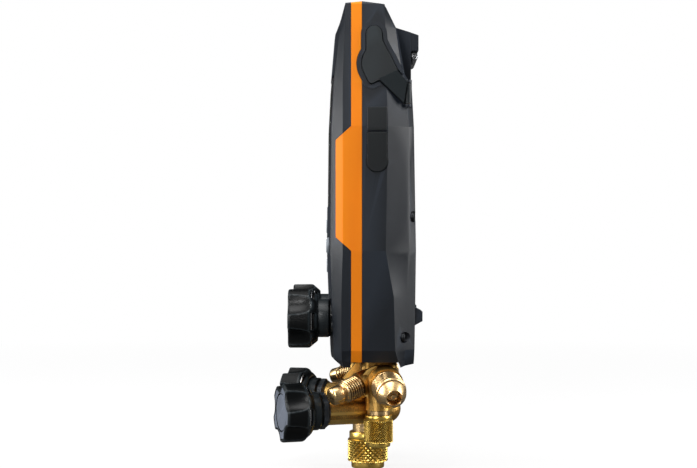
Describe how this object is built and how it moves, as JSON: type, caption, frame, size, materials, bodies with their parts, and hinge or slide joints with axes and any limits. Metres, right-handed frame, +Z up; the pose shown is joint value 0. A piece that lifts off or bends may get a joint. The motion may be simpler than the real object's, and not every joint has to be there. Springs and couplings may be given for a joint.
{
  "type": "refrigerant manifold gauge",
  "caption": "Hand-held digital manifold for refrigerant work: faceted case with display over a brass valve block with lobed valve knobs and flare connections.",
  "frame": {"origin": "bottom centre of the whole part's bounding box, at the end of the large bottom cap", "axes": "+Z up along the height, -Y the front with the display and knobs, +X the right side seen in the picture"},
  "size_m": [0.1208, 0.0735, 0.235],
  "materials": {
    "charcoal_plastic": "satin",
    "orange_overmould": "matte",
    "knob_plastic": "satin",
    "soft_black": "matte",
    "clear_window": "gloss",
    "display_panel": "gloss",
    "circuit_board": "satin",
    "key_plastic": "satin",
    "sight_glass": "polished",
    "bright_steel": "brushed",
    "cast_brass": "as cast",
    "turned_brass": "turned",
    "cell_metal": "gloss",
    "tray_plastic": "satin"
  },
  "bodies": {
    "housing": {"battery_cells": "cell_metal", "battery_tray": "tray_plastic", "cover_pin_left": "bright_steel", "cover_pin_right": "bright_steel", "data_socket": "bright_steel", "display_module": "display_panel", "display_window": "clear_window", "front_shell": "charcoal_plastic", "hook_bracket": "charcoal_plastic", "hook_knuckles": "bright_steel", "hook_pin": "bright_steel", "housing_screws": "bright_steel", "keypad": "soft_black", "large_connection": "turned_brass", "lower_collar_left": "knob_plastic", "lower_collar_right": "knob_plastic", "main_board": "circuit_board", "middle_band": "orange_overmould", "parking_stubs": "turned_brass", "port_cover_anchor": "soft_black", "pressure_sensors": "bright_steel", "probe_socket_left": "tray_plastic", "probe_socket_right": "tray_plastic", "rear_shell": "charcoal_plastic", "side_connection_left": "cast_brass", "side_connection_right": "cast_brass", "sight_glass": "sight_glass", "sight_ring": "bright_steel", "small_connection": "turned_brass", "upper_collar_left": "knob_plastic", "upper_collar_right": "knob_plastic", "valve_block": "cast_brass"},
    "battery_door": {"battery_door": "charcoal_plastic"},
    "hook": {"hook": "bright_steel"},
    "probe_cover_right": {"probe_cover_right": "soft_black"},
    "probe_cover_left": {"probe_cover_left": "soft_black"},
    "port_cover": {"port_cover": "soft_black"},
    "core_pin_right": {"core_pin_right": "turned_brass"},
    "core_pin_left": {"core_pin_left": "turned_brass"},
    "small_cap": {"small_cap": "turned_brass"},
    "large_cap": {"large_cap": "turned_brass"},
    "key_left": {"key_left": "key_plastic"},
    "key_right": {"key_right": "key_plastic"},
    "key_up": {"key_up": "key_plastic"},
    "key_enter": {"key_enter": "key_plastic"},
    "key_down": {"key_down": "key_plastic"},
    "upper_knob_left": {"upper_knob_left": "knob_plastic", "upper_sleeve_left": "bright_steel"},
    "upper_stem_left": {"upper_stem_left": "turned_brass"},
    "upper_knob_right": {"upper_knob_right": "knob_plastic", "upper_sleeve_right": "bright_steel"},
    "upper_stem_right": {"upper_stem_right": "turned_brass"},
    "lower_knob_left": {"lower_knob_left": "knob_plastic", "lower_sleeve_left": "bright_steel"},
    "lower_stem_left": {"lower_stem_left": "turned_brass"},
    "lower_knob_right": {"lower_knob_right": "knob_plastic", "lower_sleeve_right": "bright_steel"},
    "lower_stem_right": {"lower_stem_right": "turned_brass"}
  },
  "joints": [
    {"name": "upper_knob_left_turn", "type": "hinge", "parent": "housing", "child": "upper_knob_left", "pos_m": [-0.03, 0.01, 0.0805], "axis": [0, -1, 0], "range_deg": [0, 450]},
    {"name": "upper_stem_left_lift", "type": "slide", "parent": "housing", "child": "upper_stem_left", "axis": [0, -1, 0], "range_m": [0, 0.0016]},
    {"name": "upper_knob_right_turn", "type": "hinge", "parent": "housing", "child": "upper_knob_right", "pos_m": [0.03, 0.01, 0.0805], "axis": [0, -1, 0], "range_deg": [0, 450]},
    {"name": "upper_stem_right_lift", "type": "slide", "parent": "housing", "child": "upper_stem_right", "axis": [0, -1, 0], "range_m": [0, 0.0016]},
    {"name": "lower_knob_left_turn", "type": "hinge", "parent": "housing", "child": "lower_knob_left", "pos_m": [-0.025, 0.008, 0.0349], "axis": [-0.309, -0.9511, 0], "range_deg": [0, 450]},
    {"name": "lower_stem_left_lift", "type": "slide", "parent": "housing", "child": "lower_stem_left", "axis": [-0.309, -0.9511, 0], "range_m": [0, 0.0016]},
    {"name": "lower_knob_right_turn", "type": "hinge", "parent": "housing", "child": "lower_knob_right", "pos_m": [0.025, 0.008, 0.0349], "axis": [0.309, -0.9511, 0], "range_deg": [0, 450]},
    {"name": "lower_stem_right_lift", "type": "slide", "parent": "housing", "child": "lower_stem_right", "axis": [0.309, -0.9511, 0], "range_m": [0, 0.0016]},
    {"name": "hook_swing", "type": "hinge", "parent": "housing", "child": "hook", "pos_m": [0, 0.0331, 0.2114], "axis": [1, 0, 0], "range_deg": [0, 180]},
    {"name": "probe_cover_left_swing", "type": "hinge", "parent": "housing", "child": "probe_cover_left", "pos_m": [-0.04542, 0.0286, 0.19], "axis": [0, 0, -1], "range_deg": [0, 110]},
    {"name": "probe_cover_right_swing", "type": "hinge", "parent": "housing", "child": "probe_cover_right", "pos_m": [0.04542, 0.0286, 0.19], "axis": [0, 0, 1], "range_deg": [0, 110]},
    {"name": "port_cover_swing", "type": "hinge", "parent": "housing", "child": "port_cover", "pos_m": [0.05275, 0.01375, 0.1711], "axis": [0, -1, 0], "range_deg": [0, 110]},
    {"name": "battery_door_swing", "type": "hinge", "parent": "housing", "child": "battery_door", "pos_m": [0, 0.0329, 0.095], "axis": [-1, 0, 0], "range_deg": [0, 90]},
    {"name": "key_left_press", "type": "slide", "parent": "housing", "child": "key_left", "axis": [0, 1, 0], "range_m": [0, 0.0008], "stiffness_N_per_m": 400},
    {"name": "key_right_press", "type": "slide", "parent": "housing", "child": "key_right", "axis": [0, 1, 0], "range_m": [0, 0.0008], "stiffness_N_per_m": 400},
    {"name": "key_up_press", "type": "slide", "parent": "housing", "child": "key_up", "axis": [0, 1, 0], "range_m": [0, 0.0008], "stiffness_N_per_m": 400},
    {"name": "key_enter_press", "type": "slide", "parent": "housing", "child": "key_enter", "axis": [0, 1, 0], "range_m": [0, 0.0008], "stiffness_N_per_m": 400},
    {"name": "key_down_press", "type": "slide", "parent": "housing", "child": "key_down", "axis": [0, 1, 0], "range_m": [0, 0.0008], "stiffness_N_per_m": 400},
    {"name": "core_pin_left_press", "type": "slide", "parent": "housing", "child": "core_pin_left", "axis": [0.9378, -0.2032, 0.2814], "range_m": [0, 0.0015], "stiffness_N_per_m": 1500},
    {"name": "core_pin_right_press", "type": "slide", "parent": "housing", "child": "core_pin_right", "axis": [-0.9378, -0.2032, 0.2814], "range_m": [0, 0.0015], "stiffness_N_per_m": 1500},
    {"name": "small_cap_unscrew", "type": "slide", "parent": "housing", "child": "small_cap", "axis": [0, 0, -1], "range_m": [0, 0.016]},
    {"name": "large_cap_unscrew", "type": "slide", "parent": "housing", "child": "large_cap", "axis": [0, 0, -1], "range_m": [0, 0.02]}
  ],
  "couplings": [
    {"joint": "upper_stem_left_lift", "follows": "upper_knob_left_turn", "m_per_rad": 0.0002},
    {"joint": "upper_stem_right_lift", "follows": "upper_knob_right_turn", "m_per_rad": 0.0002},
    {"joint": "lower_stem_left_lift", "follows": "lower_knob_left_turn", "m_per_rad": 0.0002},
    {"joint": "lower_stem_right_lift", "follows": "lower_knob_right_turn", "m_per_rad": 0.0002}
  ]
}
